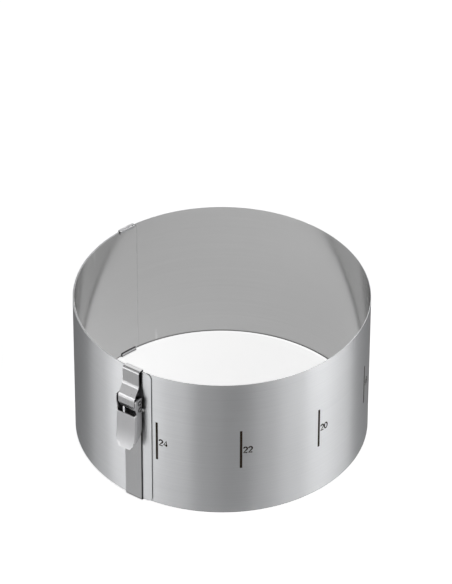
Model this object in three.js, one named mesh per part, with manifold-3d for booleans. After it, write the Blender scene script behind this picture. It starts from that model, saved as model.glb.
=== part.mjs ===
// Adjustable cake ring: a sprung steel band that overlaps itself, held at its diameter by a draw latch.
// Millimetres, +Z up. The origin is on the ring's axis, at the level that the ring stands on.
// Directions round the ring are azimuths, in degrees from the front (-Y), positive to the right.
import * as THREE from "three";
import { mergeVertices } from "three/addons/utils/BufferGeometryUtils.js";
import Module from "manifold-3d";

const wasm = await Module();
wasm.setup();

// Clearances
const seatGap = 0.3; // between pieces that bear on each other
const pinClearance = 0.3; // round a pin in its knuckles, measured on the radius
const pinFit = 0.2; // round a pin in the lever's ears, where it is riveted
const cutOverrun = 5; // how far a cutting solid runs past what it cuts

// Band
const ringDiameter = 243; // outside of the outer layer
const bandHeight = 130;
const bandThickness = 0.5;
const layerGap = 0.3; // between the two layers where the band overlaps
const overlapLength = 246; // along the band, from the outer end to the inner end
const endCornerRadius = 4.5;
const facetAngle = 2.5; // divides a full turn, so both layers are faceted alike

// Strip that the strap and the catch are bent from
const clampAzimuth = -34.85;
const endPastClamp = 16.9; // along the band, from the clamp's middle to the outer end
const stripWidth = 16.5;
const stripThickness = 0.8;
const hookReach = 5; // how far each hook reaches past its rim, inside the ring
const hookPlay = 0.6; // between a hook and the inside of the band
const rimBendRadius = 0.4; // inside of the bends round the rims

// Pins
const pinDiameter = 3;
const pinHeadDiameter = 4.3;
const pinHeadHeight = 0.8;
const pinSpacing = 6.5; // from the pivot pin down to the catch pin
const pastCentre = 0.4; // how far the closed latch has passed its dead centre

// Place of the pivot pin
const pivotBelowRim = 27.8;
const pivotStandOff = 4.9; // from the outside of the band

// Catch
const armStandOff = 2.8; // between the band and the back of the arm
const bulgeGap = 1.3; // between the strap's knuckle and the bulge that clears it
const lipAbovePivot = 4.6; // top of the upright lip
const lipBelowPivot = 1.9; // where the lip turns in to the catch pin
const slopeHeight = 9;
const armBendRadius = 1;
const knuckleRoll = 295; // degrees that a knuckle is rolled through

// Strap
const jogBelowPivot = 3.9; // where the strap leaves the band to reach its knuckle
const jogBendRadius = 2;

// Lever, its heights measured from the pivot
const leverThickness = 0.8;
const leverSideGap = 0.75; // between the strip and each ear
const leverProud = 0.7; // how far the top of the web stands past the catch's lip
const leverLean = 1; // degrees that the web leans out
const leverBendRadius = 1.5; // outside, between the web and the flanges
const webGap = 2.1; // between the catch's knuckle and the top of the web
const earRadius = 4.6;
const earFront = 5.3;
const earShoulder = 3.3; // top of the ear's upright front edge
const earShoulderRadius = 1.2;
const earWaist = 3.5; // where the ear is cut back above the web
const earWaistBelow = 9.3;
const earFrontBelow = 1.6; // bottom of the ear's upright front edge
const flangeStandOff = 2.1; // back edges of the flanges from the band
const flangeStraight = 26.4; // down to where the flanges start to narrow
const flangeArcRadius = 11;
const tongueRoot = 37.6; // down to where the flanges end
const tongueShoulder = 40.2; // down to where the tongue narrows
const leverReach = 44.3; // down to the tip
const flareStart = 24; // down to where the web starts to sweep out
const flareRadius = 90;
const tongueTipWidth = 10.9;

// Guide clips
const clipLength = 15.6;
const clipThickness = 0.6;
const clipLeg = 2.4; // how far the legs reach past the rim
const clipInset = 2.5; // from the inner end of the band
const clipBendRadius = 0.35; // inside

// Derived places
const ringRadius = ringDiameter / 2;
const layerStep = bandThickness + layerGap;
const innerFaceRadius = ringRadius - layerStep - bandThickness;
const bandBottom = stripThickness + seatGap;
const bandTop = bandBottom + bandHeight;
const pivotHeight = bandTop - pivotBelowRim;
const outerEndAzimuth = clampAzimuth + arcDegrees(endPastClamp);
const overlapAngle = arcDegrees(overlapLength);
const innerEndAzimuth = outerEndAzimuth - overlapAngle;
const pinRadius = pinDiameter / 2;
const knuckleInside = pinRadius + pinClearance;
const knuckleOutside = knuckleInside + stripThickness;
const leverHalfWidth = stripWidth / 2 + leverSideGap + leverThickness;
const webTopFront = knuckleOutside + bulgeGap + stripThickness + leverProud;
const webTopBelow = pinSpacing + knuckleOutside + webGap;
const webFlatHalf = leverHalfWidth - leverBendRadius;
const fullTurn = 360;
const quarterTurn = 90;
const arcStep = 15; // degrees between the points of a small arc

function arcDegrees(length) {
  return THREE.MathUtils.radToDeg(length / ringRadius);
}

// A point at the given radius and azimuth round the ring.
function around(radius, azimuth, height) {
  const angle = THREE.MathUtils.degToRad(azimuth);
  return [radius * Math.sin(angle), -radius * Math.cos(angle), height];
}

function polar(centre, radius, degrees) {
  const angle = THREE.MathUtils.degToRad(degrees);
  return new THREE.Vector2(centre.x + radius * Math.cos(angle), centre.y + radius * Math.sin(angle));
}

// Points on an arc from one angle to another, both included.
function arc(centre, radius, from, to) {
  const steps = Math.max(1, Math.ceil(Math.abs(to - from) / arcStep));
  const step = (to - from) / steps;
  return Array.from({ length: steps + 1 }, (_, i) => polar(centre, radius, from + step * i));
}

function closedGeometry(positions, index) {
  const geometry = new THREE.BufferGeometry();
  geometry.setAttribute("position", new THREE.Float32BufferAttribute(positions.flat(), 3));
  geometry.setIndex(index);
  geometry.computeVertexNormals();
  return geometry;
}

// Joins sections with equally many points into one closed body. Each section runs anticlockwise
// when it is looked at against the direction in which the sections follow each other.
function joinSections(sections, capFaces) {
  const count = sections[0].length;
  const index = [];
  for (let i = 0; i + 1 < sections.length; i++) {
    for (let j = 0; j < count; j++) {
      const here = i * count;
      const next = here + count;
      const after = (j + 1) % count;
      index.push(here + j, here + after, next + after);
      index.push(here + j, next + after, next + j);
    }
  }
  const last = (sections.length - 1) * count;
  for (const [a, b, c] of capFaces) {
    index.push(a, c, b);
    index.push(last + a, last + b, last + c);
  }
  return closedGeometry(sections.flat(), index);
}

// A wall that runs round the ring. Each station gives an azimuth and its section as [radius, height]
// points, anticlockwise, and the stations run from right to left.
function wallRound(stations) {
  const first = stations[0].section.map(([r, z]) => new THREE.Vector2(r, z));
  const faces = THREE.ShapeUtils.triangulateShape(first, []);
  const sections = stations.map(({ azimuth, section }) => section.map(([r, z]) => around(r, azimuth, z)));
  return joinSections(sections, faces);
}

// Outline of a strip bent in one plane: straight runs between corners, each corner with its inside
// bend radius, and a knuckle rolled clockwise round a pin at the end.
function bentStrip(corners, knuckleCentre) {
  const half = stripThickness / 2;
  const rollRadius = knuckleInside + half;
  const lastCorner = corners.at(-1).at;
  const toCentre = knuckleCentre.clone().sub(lastCorner);
  const heading = toCentre.angle() + Math.asin(rollRadius / toCentre.length());
  const run = Math.sqrt(toCentre.lengthSq() - rollRadius * rollRadius);
  const tangentPoint = polar(lastCorner, run, THREE.MathUtils.radToDeg(heading));
  const middle = [];
  const addStation = (point, side) => middle.push({ point, side });
  const leftOf = (direction) => new THREE.Vector2(-direction.y, direction.x);
  const points = [...corners.map((corner) => corner.at), tangentPoint];
  points.forEach((point, i) => {
    const before = i > 0 ? point.clone().sub(points[i - 1]).normalize() : null;
    const after = i + 1 < points.length ? points[i + 1].clone().sub(point).normalize() : null;
    if (!before || !after) {
      addStation(point, leftOf(before ?? after));
      return;
    }
    const turn = Math.atan2(before.cross(after), before.dot(after));
    const radius = corners[i].bend + half;
    const side = leftOf(before).multiplyScalar(Math.sign(turn));
    const setBack = radius * Math.tan(Math.abs(turn) / 2);
    const centre = point.clone().addScaledVector(before, -setBack).addScaledVector(side, radius);
    const start = THREE.MathUtils.radToDeg(side.clone().negate().angle());
    for (const onArc of arc(centre, radius, start, start + THREE.MathUtils.radToDeg(turn))) {
      addStation(onArc, centre.clone().sub(onArc).normalize().multiplyScalar(Math.sign(turn)));
    }
  });
  middle.pop();
  const rollStart = THREE.MathUtils.radToDeg(heading) + quarterTurn;
  for (const onArc of arc(knuckleCentre, rollRadius, rollStart, rollStart - knuckleRoll)) {
    addStation(onArc, onArc.clone().sub(knuckleCentre).normalize());
  }
  const leftSide = middle.map(({ point, side }) => point.clone().addScaledVector(side, half));
  const rightSide = middle.map(({ point, side }) => point.clone().addScaledVector(side, -half));
  return new THREE.Shape([...rightSide, ...leftSide.reverse()]);
}

// A shape drawn sideways on, outward by up, given its width along the band.
function acrossBand(shape, width) {
  return new THREE.ExtrudeGeometry(shape, { depth: width, bevelEnabled: false })
    .translate(0, 0, -width / 2)
    .rotateX(Math.PI / 2);
}

// A shape drawn from the front, along the band by up, extruded outwards.
function outwards(shape, from, to) {
  return new THREE.ExtrudeGeometry(shape, { depth: to - from, bevelEnabled: false })
    .translate(0, 0, from)
    .rotateX(Math.PI / 2)
    .rotateZ(Math.PI / 2);
}

function toSolid(geometry) {
  const bare = geometry.clone();
  bare.deleteAttribute("normal");
  bare.deleteAttribute("uv");
  const merged = mergeVertices(bare);
  const vertProperties = new Float32Array(merged.attributes.position.array);
  const triVerts = new Uint32Array(merged.index.array);
  return new wasm.Manifold(new wasm.Mesh({ numProp: 3, vertProperties, triVerts }));
}

function toGeometry(solid) {
  const mesh = solid.getMesh();
  const geometry = new THREE.BufferGeometry();
  geometry.setAttribute("position", new THREE.BufferAttribute(new Float32Array(mesh.vertProperties), 3));
  geometry.setIndex(new THREE.BufferAttribute(new Uint32Array(mesh.triVerts), 1));
  geometry.computeVertexNormals();
  return geometry;
}

function steel(color, roughness) {
  return new THREE.MeshStandardMaterial({ color, roughness, metalness: 1 });
}

function named(name, geometry, material) {
  const mesh = new THREE.Mesh(geometry, material);
  mesh.name = name;
  return mesh;
}

// The band is one strip. Its outer layer lies at the ring's radius over the whole overlap, and the
// single layer eases inwards by a layer's step on its way round to the inner layer.
function bandGeometry() {
  const total = fullTurn + overlapAngle;
  const outsideRadius = (turned) => {
    const share = (turned - overlapAngle) / (fullTurn - overlapAngle);
    return ringRadius - layerStep * THREE.MathUtils.smoothstep(share, 0, 1);
  };
  // How much the rounded corners take off the height, at a distance from the nearer end.
  const cornerInset = (distance) => {
    const left = Math.max(0, endCornerRadius - distance);
    return endCornerRadius - Math.sqrt(endCornerRadius ** 2 - left ** 2);
  };
  const cornerTurns = arc(new THREE.Vector2(), endCornerRadius, 0, quarterTurn)
    .map((point) => arcDegrees(endCornerRadius - point.x));
  const cornerEnd = cornerTurns.at(-1);
  const turns = [...cornerTurns, ...cornerTurns.map((turn) => total - turn)];
  for (let turn = facetAngle; turn < total; turn += facetAngle) {
    if (turn > cornerEnd && turn < total - cornerEnd) turns.push(turn);
  }
  turns.sort((a, b) => a - b);
  const stations = turns.map((turned) => {
    const distance = THREE.MathUtils.degToRad(Math.min(turned, total - turned)) * ringRadius;
    const inset = cornerInset(distance);
    const outside = outsideRadius(turned);
    const inside = outside - bandThickness;
    const low = bandBottom + inset;
    const high = bandTop - inset;
    const section = [[inside, low], [outside, low], [outside, high], [inside, high]];
    return { azimuth: outerEndAzimuth - turned, section };
  });
  return wallRound(stations);
}

// A folded clip that rides over a rim and keeps the two layers together at the band's inner end.
// up is 1 at the top rim and -1 at the bottom rim.
function clipGeometry(rim, up) {
  const outside = ringRadius + seatGap + clipThickness;
  const inside = innerFaceRadius - seatGap - clipThickness;
  const cap = bandBottom;
  const outerBend = clipBendRadius + clipThickness;
  const outlineOf = (left, right, top, bend) => [
    new THREE.Vector2(left, -clipLeg),
    ...arc(new THREE.Vector2(left + bend, top - bend), bend, 2 * quarterTurn, quarterTurn),
    ...arc(new THREE.Vector2(right - bend, top - bend), bend, quarterTurn, 0),
    new THREE.Vector2(right, -clipLeg),
  ];
  const outer = outlineOf(inside, outside, cap, outerBend);
  const wall = clipThickness;
  const inner = outlineOf(inside + wall, outside - wall, cap - wall, clipBendRadius);
  let section = [...outer, ...inner.reverse()].map((point) => [point.x, rim + up * point.y]);
  if (up > 0) section = section.reverse();
  const length = arcDegrees(clipLength);
  const right = innerEndAzimuth + arcDegrees(clipInset) + length;
  const steps = Math.ceil(length / facetAngle);
  const azimuths = Array.from({ length: steps + 1 }, (_, i) => right - (length * i) / steps);
  return wallRound(azimuths.map((azimuth) => ({ azimuth, section })));
}

// Strap: hooks under the bottom rim, runs up the outside and is rolled round the pivot pin.
function strapShape() {
  const half = stripThickness / 2;
  const hook = hookMiddleRadius();
  const outsideMiddle = ringRadius + seatGap + half;
  const under = bandBottom - seatGap - half;
  return bentStrip(
    [
      { at: new THREE.Vector2(hook, bandBottom + hookReach) },
      { at: new THREE.Vector2(hook, under), bend: rimBendRadius },
      { at: new THREE.Vector2(outsideMiddle, under), bend: rimBendRadius },
      { at: new THREE.Vector2(outsideMiddle, pivotHeight - jogBelowPivot), bend: jogBendRadius },
    ],
    new THREE.Vector2(ringRadius + pivotStandOff, pivotHeight),
  );
}

// Middle of the hooks' strip. The strip is flat and the band curves, so its edges come nearest.
function hookMiddleRadius() {
  const atEdges = Math.sqrt(innerFaceRadius ** 2 - (stripWidth / 2) ** 2);
  return atEdges - hookPlay - stripThickness / 2;
}

// Catch: hooks over the top rim, stands off the band, bulges out round the strap's knuckle, and
// turns in under it to be rolled round the catch pin.
function catchShape() {
  const half = stripThickness / 2;
  const hook = hookMiddleRadius();
  const over = bandTop + seatGap + half;
  const arm = ringRadius + armStandOff + half;
  const lip = ringRadius + pivotStandOff + knuckleOutside + bulgeGap + half;
  const lipTop = pivotHeight + lipAbovePivot;
  return bentStrip(
    [
      { at: new THREE.Vector2(hook, bandTop - hookReach) },
      { at: new THREE.Vector2(hook, over), bend: rimBendRadius },
      { at: new THREE.Vector2(arm, over), bend: rimBendRadius },
      { at: new THREE.Vector2(arm, lipTop + slopeHeight), bend: armBendRadius },
      { at: new THREE.Vector2(lip, lipTop), bend: armBendRadius },
      { at: new THREE.Vector2(lip, pivotHeight - lipBelowPivot), bend: armBendRadius },
    ],
    new THREE.Vector2(ringRadius + pivotStandOff - pastCentre, pivotHeight - pinSpacing),
  );
}

// A rivet along the band's direction, with a domed head past each ear.
function pinGeometry() {
  const seat = leverHalfWidth + seatGap;
  const headRadius = pinHeadDiameter / 2;
  const domeRadius = (headRadius ** 2 + pinHeadHeight ** 2) / (2 * pinHeadHeight);
  const domeSpan = THREE.MathUtils.radToDeg(Math.asin(headRadius / domeRadius));
  const top = seat + pinHeadHeight;
  const domeCentre = new THREE.Vector2(0, top - domeRadius);
  const dome = arc(domeCentre, domeRadius, quarterTurn - domeSpan, quarterTurn).slice(0, -1);
  const upper = [new THREE.Vector2(pinRadius, seat), ...dome, new THREE.Vector2(0, top)];
  const lower = upper.map((point) => new THREE.Vector2(point.x, -point.y)).reverse();
  return new THREE.LatheGeometry([...lower, ...upper], fullTurn / arcStep);
}

// Front of the lever's web at a height from the pivot: it leans out, and sweeps out along the tongue.
function webFront(height) {
  const lean = THREE.MathUtils.degToRad(leverLean);
  const straight = webTopFront - (Math.max(height, -flareStart) + webTopBelow) * Math.tan(lean);
  const swept = Math.max(0, -height - flareStart);
  const slope = Math.asin(Math.sin(lean) + swept / flareRadius);
  return straight + flareRadius * (Math.cos(lean) - Math.cos(slope));
}

// The channel's outside, or its hollow when it is inset by a wall, open at the back.
function channelBody(wall, top, bottom) {
  const halfWidth = leverHalfWidth - wall;
  const bend = leverBendRadius - wall;
  const back = -pivotStandOff - cutOverrun;
  const flareSteps = 4;
  const flareHeight = leverReach - flareStart;
  const flared = Array.from({ length: flareSteps }, (_, i) => -leverReach + (flareHeight * i) / flareSteps);
  const heights = [bottom, ...flared.filter((height) => height > bottom), -flareStart, top];
  const sections = heights.map((height) => {
    const front = webFront(Math.max(height, -leverReach)) - wall;
    const right = arc(new THREE.Vector2(front - bend, -halfWidth + bend), bend, -quarterTurn, 0);
    const left = arc(new THREE.Vector2(front - bend, halfWidth - bend), bend, 0, quarterTurn);
    const backCorners = [new THREE.Vector2(back, halfWidth), new THREE.Vector2(back, -halfWidth)];
    const outline = [...right, ...left, ...backCorners];
    return outline.map((point) => [point.x, point.y, height]);
  });
  const fan = Array.from({ length: sections[0].length - 2 }, (_, i) => [0, i + 1, i + 2]);
  return toSolid(joinSections(sections, fan));
}

// Side view of the lever: ears rounded about the pivot, a waist above the web, and flanges that
// narrow down to the tongue.
function leverSideShape() {
  const farOut = webFront(-leverReach) + cutOverrun;
  const farDown = -leverReach - cutOverrun;
  const back = flangeStandOff - pivotStandOff;
  const backAngle = THREE.MathUtils.radToDeg(Math.acos(back / earRadius));
  const arcCentre = new THREE.Vector2(back + flangeArcRadius, -flangeStraight);
  const narrowing = arc(arcCentre, flangeArcRadius, 2 * quarterTurn, 3 * quarterTurn)
    .filter((point) => point.x < webFront(point.y) - leverThickness);
  const shoulderCentre = new THREE.Vector2(earFront - earShoulderRadius, earShoulder);
  return new THREE.Shape([
    new THREE.Vector2(farOut, farDown),
    new THREE.Vector2(farOut, -webTopBelow),
    new THREE.Vector2(webTopFront - leverThickness, -webTopBelow),
    new THREE.Vector2(earWaist, -earWaistBelow),
    new THREE.Vector2(earFront, -earFrontBelow),
    ...arc(shoulderCentre, earShoulderRadius, 0, quarterTurn),
    ...arc(new THREE.Vector2(), earRadius, quarterTurn, backAngle),
    ...narrowing,
    new THREE.Vector2(narrowing.at(-1).x, farDown),
  ]);
}

// Front view of the lever: full width down to the flanges' ends, then the tongue and its tip.
function leverFrontShape() {
  const wide = leverHalfWidth + cutOverrun;
  const rightSide = [
    new THREE.Vector2(tongueTipWidth / 2, -leverReach),
    new THREE.Vector2(webFlatHalf, -tongueShoulder),
    new THREE.Vector2(webFlatHalf, -tongueRoot),
    new THREE.Vector2(wide, -tongueRoot),
    new THREE.Vector2(wide, earRadius + cutOverrun),
  ];
  const leftSide = rightSide.map((point) => new THREE.Vector2(-point.x, point.y)).reverse();
  return new THREE.Shape([...rightSide, ...leftSide]);
}

// A hole through both ears.
function earHole(outward, height) {
  const holeWidth = 2 * (leverHalfWidth + cutOverrun);
  const radius = pinRadius + pinFit;
  const hole = new THREE.CylinderGeometry(radius, radius, holeWidth, fullTurn / arcStep);
  return toSolid(hole.translate(outward, 0, height));
}

// Lever: a channel pressed from sheet, with two ears and a finger tongue. Its origin is the pivot.
function leverGeometry() {
  const farOut = webFront(-leverReach) + cutOverrun;
  const farBack = -pivotStandOff - 2 * cutOverrun;
  const channelTop = -earWaistBelow;
  const outer = channelBody(0, channelTop, -leverReach);
  const hollow = channelBody(leverThickness, channelTop + cutOverrun, -leverReach - cutOverrun);
  const sideTrim = toSolid(acrossBand(leverSideShape(), 2 * (leverHalfWidth + cutOverrun)));
  const frontTrim = toSolid(outwards(leverFrontShape(), farBack, farOut));
  const notch = toSolid(new THREE.BoxGeometry(farOut - earWaist, 2 * webFlatHalf, webTopBelow)
    .translate((farOut + earWaist) / 2, 0, -webTopBelow / 2));
  const channel = outer.subtract(hollow).intersect(frontTrim).subtract(notch);
  const earBottom = channelTop - leverThickness / 2;
  const earTop = earRadius + cutOverrun;
  const earSlab = new THREE.BoxGeometry(farOut - farBack, leverThickness, earTop - earBottom)
    .translate((farOut + farBack) / 2, leverHalfWidth - leverThickness / 2, (earTop + earBottom) / 2);
  const leftEar = toSolid(earSlab);
  const rightEar = toSolid(earSlab.clone().rotateZ(Math.PI).translate(farOut + farBack, 0, 0));
  const whole = channel.add(leftEar).add(rightEar).intersect(sideTrim);
  return toGeometry(whole.subtract(earHole(0, 0)).subtract(earHole(-pastCentre, -pinSpacing)));
}

const bandSteel = steel(0xb8babc, 0.3);
const strapSteel = steel(0x9d9ea0, 0.34);
const catchSteel = steel(0xa9aaac, 0.3);
const leverSteel = steel(0xc2c3c5, 0.26);
const pinSteel = steel(0x8b8c8f, 0.3);
const clipSteel = steel(0xb0b1b3, 0.28);

const cakeRing = new THREE.Group();
cakeRing.add(named("ring_band", bandGeometry(), bandSteel));
cakeRing.add(named("guide_clip_top", clipGeometry(bandTop, 1), clipSteel));
cakeRing.add(named("guide_clip_bottom", clipGeometry(bandBottom, -1), clipSteel));

// In the clamp's frame +X points outwards, +Y to the right along the band, and +Z up.
const clamp = new THREE.Group();
clamp.rotation.z = THREE.MathUtils.degToRad(clampAzimuth - quarterTurn);
clamp.add(named("clamp_strap", acrossBand(strapShape(), stripWidth), strapSteel));
clamp.add(named("clamp_catch", acrossBand(catchShape(), stripWidth), catchSteel));
cakeRing.add(clamp);

const lever = new THREE.Group();
lever.position.set(ringRadius + pivotStandOff, 0, pivotHeight);
lever.add(named("clamp_lever", leverGeometry(), leverSteel));
lever.add(named("pivot_pin", pinGeometry(), pinSteel));
const catchPin = named("catch_pin", pinGeometry(), pinSteel);
catchPin.position.set(-pastCentre, 0, -pinSpacing);
lever.add(catchPin);
clamp.add(lever);

export default cakeRing;
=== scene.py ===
# Adjustable cake ring in steel: the sprung band with its diameter scale, two guide clips and a draw latch.
# Metres, in the CAD model's frame. Azimuths run from the front (-Y), positive to the right.
import bpy
import bmesh
import math
from math import cos, pi, radians, sin
from mathutils import Matrix, Vector


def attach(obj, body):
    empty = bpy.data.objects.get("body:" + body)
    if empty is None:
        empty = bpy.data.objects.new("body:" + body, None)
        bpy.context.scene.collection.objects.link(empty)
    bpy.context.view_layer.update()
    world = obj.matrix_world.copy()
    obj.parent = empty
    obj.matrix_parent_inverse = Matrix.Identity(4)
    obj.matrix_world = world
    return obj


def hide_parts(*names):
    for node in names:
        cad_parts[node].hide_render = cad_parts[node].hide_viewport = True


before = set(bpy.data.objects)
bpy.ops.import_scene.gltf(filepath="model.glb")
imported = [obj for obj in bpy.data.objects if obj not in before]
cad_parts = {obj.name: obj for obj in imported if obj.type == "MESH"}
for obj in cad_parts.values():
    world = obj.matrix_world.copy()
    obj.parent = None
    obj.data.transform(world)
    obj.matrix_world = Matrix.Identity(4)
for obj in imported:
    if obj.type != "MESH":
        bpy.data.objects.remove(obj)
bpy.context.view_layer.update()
mm = 0.001
scene = bpy.context.scene

print("stage: camera and studio")
camera = {
    "focal": 257.31,  # for a 36 mm sensor on the frame's long side
    "place": (0.03313, -2.71138, 2.16631),
    "pitch": 0.64338,  # down from the horizon
    "yaw": -0.01108,
    "roll": 0.00331,
}
studio = {
    "floorSize": 14,
    "floorTone": (0.8, 0.8, 0.8, 1),
    "floorLift": 0.8,  # what brings the open floor up to white
    "floorInSteel": 0.14,  # how bright the surroundings look in metal, over what the lamps give them
    "ringFloorInSteel": 0.5,  # the same within the ring, where the low lamps don't reach
    "ringFloorRadius": 0.118,
    "airInSteel": 0.14,
    "airLight": 0.10,  # level light from all round
    "distance": 1.5,
    "lampPower": 4,  # watts per square metre at a brightness of 1
    "lowRow": {"elevation": 3, "width": 0.54, "height": 0.15},
    "lowBrightness": {  # by azimuth, as in the other rows
        -90: 5.4, -70: 13, -50: 10.4, -30: 6.6, -10: 1.4, 30: 1.4, 50: 5.4, 70: 10.8, 90: 6.6,
    },
    "upperRow": {"elevation": 30, "width": 0.9, "height": 0.6},
    "upperBrightness": {-45: 0.2, 45: 1.3, 90: 1.4},
    "backRow": {"elevation": 40, "width": 0.6, "height": 0.9},
    "backBrightness": {180: 0.9},  # shows in the upper faces: rims, hook and lever
    "aim": (0, 0, 0.066),
}


def addNode(tree, kind, inputs=None, **settings):
    node = tree.nodes.new(kind)
    for name, value in settings.items():
        setattr(node, name, value)
    for name, value in (inputs or {}).items():
        feed(tree, node.inputs[name], value)
    return node


def feed(tree, socket, value):
    if isinstance(value, bpy.types.NodeSocket):
        tree.links.new(value, socket)
    else:
        socket.default_value = value


def calc(tree, operation, *values):
    node = addNode(tree, "ShaderNodeMath", operation=operation)
    for socket, value in zip(node.inputs, values):
        feed(tree, socket, value)
    return node.outputs[0]


def blend(tree, share, first, second):
    return addNode(tree, "ShaderNodeMix", {"Factor": share, "A": first, "B": second}).outputs["Result"]


def remap(tree, value, fromRange, toRange, **settings):
    node = addNode(tree, "ShaderNodeMapRange", {
        "Value": value, "From Min": fromRange[0], "From Max": fromRange[1],
        "To Min": toRange[0], "To Max": toRange[1],
    }, **settings)
    return node.outputs["Result"]


def mixTones(tree, share, first, second):
    mix = addNode(tree, "ShaderNodeMix", {"Factor": share}, data_type="RGBA")
    for socket, tone in zip([socket for socket in mix.inputs if socket.type == "RGBA"], (first, second)):
        feed(tree, socket, tone)
    return [socket for socket in mix.outputs if socket.type == "RGBA"][0]


def openMaterial(name):
    material = bpy.data.materials.new(name)
    material.use_nodes = True
    material.node_tree.nodes.clear()
    return material, material.node_tree


def closeShader(tree, shader, kind="ShaderNodeOutputMaterial"):
    end = tree.nodes.new(kind)
    tree.links.new(shader.outputs[0], end.inputs["Surface"])


def linked(name, data):
    piece = bpy.data.objects.new(name, data)
    scene.collection.objects.link(piece)
    return piece


def setCamera():
    data = bpy.data.cameras.new("photoCamera")
    data.lens = camera["focal"]
    pitch, yaw, roll = camera["pitch"], camera["yaw"], camera["roll"]
    ahead = Vector((sin(yaw) * cos(pitch), cos(yaw) * cos(pitch), -sin(pitch)))
    right = Vector((cos(yaw), -sin(yaw), 0))
    up = right.cross(ahead)
    side = right * cos(roll) + up * sin(roll)
    top = up * cos(roll) - right * sin(roll)
    turned = Matrix((side, top, -ahead)).transposed().to_4x4()
    eye = linked("photoCamera", data)
    eye.matrix_world = Matrix.Translation(camera["place"]) @ turned
    scene.camera = eye


def seenBackground(tree, seen, inMetal, asLight):
    # One strength for the camera, one in metal and glass, and one as light for all other surfaces.
    path = addNode(tree, "ShaderNodeLightPath")
    mirrored = calc(tree, "MAXIMUM", path.outputs["Is Glossy Ray"], path.outputs["Is Transmission Ray"])
    shown = blend(tree, mirrored, asLight, inMetal)
    return blend(tree, path.outputs["Is Camera Ray"], shown, seen)


def setAir():
    scene.world = bpy.data.worlds.new("studioAir")
    scene.world.use_nodes = True
    tree = scene.world.node_tree
    tree.nodes.clear()
    strength = seenBackground(tree, 1, studio["airInSteel"], studio["airLight"])
    glow = addNode(tree, "ShaderNodeBackground", {"Color": (1, 1, 1, 1), "Strength": strength})
    closeShader(tree, glow, "ShaderNodeOutputWorld")


def layFloor():
    reach = studio["floorSize"] / 2
    mesh = bpy.data.meshes.new("studioFloor")
    corners = [(-reach, -reach, 0), (reach, -reach, 0), (reach, reach, 0), (-reach, reach, 0)]
    mesh.from_pydata(corners, [], [(0, 1, 2, 3)])
    floor = linked("studioFloor", mesh)
    paper, tree = openMaterial("palePaper")
    matt = addNode(tree, "ShaderNodeBsdfDiffuse", {"Color": studio["floorTone"]})
    spot = addNode(tree, "ShaderNodeTexCoord").outputs["Object"]
    away = addNode(tree, "ShaderNodeVectorMath", {"Vector": spot}, operation="LENGTH").outputs["Value"]
    within = calc(tree, "LESS_THAN", away, studio["ringFloorRadius"])
    inSteel = blend(tree, within, studio["floorInSteel"], studio["ringFloorInSteel"])
    lift = seenBackground(tree, studio["floorLift"], inSteel, 0)
    glow = addNode(tree, "ShaderNodeEmission", {"Strength": lift})
    both = addNode(tree, "ShaderNodeAddShader")
    tree.links.new(matt.outputs[0], both.inputs[0])
    tree.links.new(glow.outputs[0], both.inputs[1])
    closeShader(tree, both)
    mesh.materials.append(paper)


def hangSoftboxes(name, row, brightness):
    for azimuth, level in brightness.items():
        data = bpy.data.lights.new(name, "AREA")
        data.shape = "RECTANGLE"
        data.size, data.size_y = row["width"], row["height"]
        data.energy = level * studio["lampPower"] * row["width"] * row["height"]
        turn, rise = radians(azimuth), radians(row["elevation"])
        away = Vector((sin(turn) * cos(rise), -cos(turn) * cos(rise), sin(rise)))
        box = linked(name, data)
        box.visible_camera = False
        box.location = Vector(studio["aim"]) + away * studio["distance"]
        box.rotation_euler = away.to_track_quat("Z", "Y").to_euler()


setCamera()
setAir()
layFloor()
hangSoftboxes("lowSoftbox", studio["lowRow"], studio["lowBrightness"])
hangSoftboxes("upperSoftbox", studio["upperRow"], studio["upperBrightness"])
hangSoftboxes("backSoftbox", studio["backRow"], studio["backBrightness"])
scene.view_settings.view_transform = "Standard"

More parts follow.
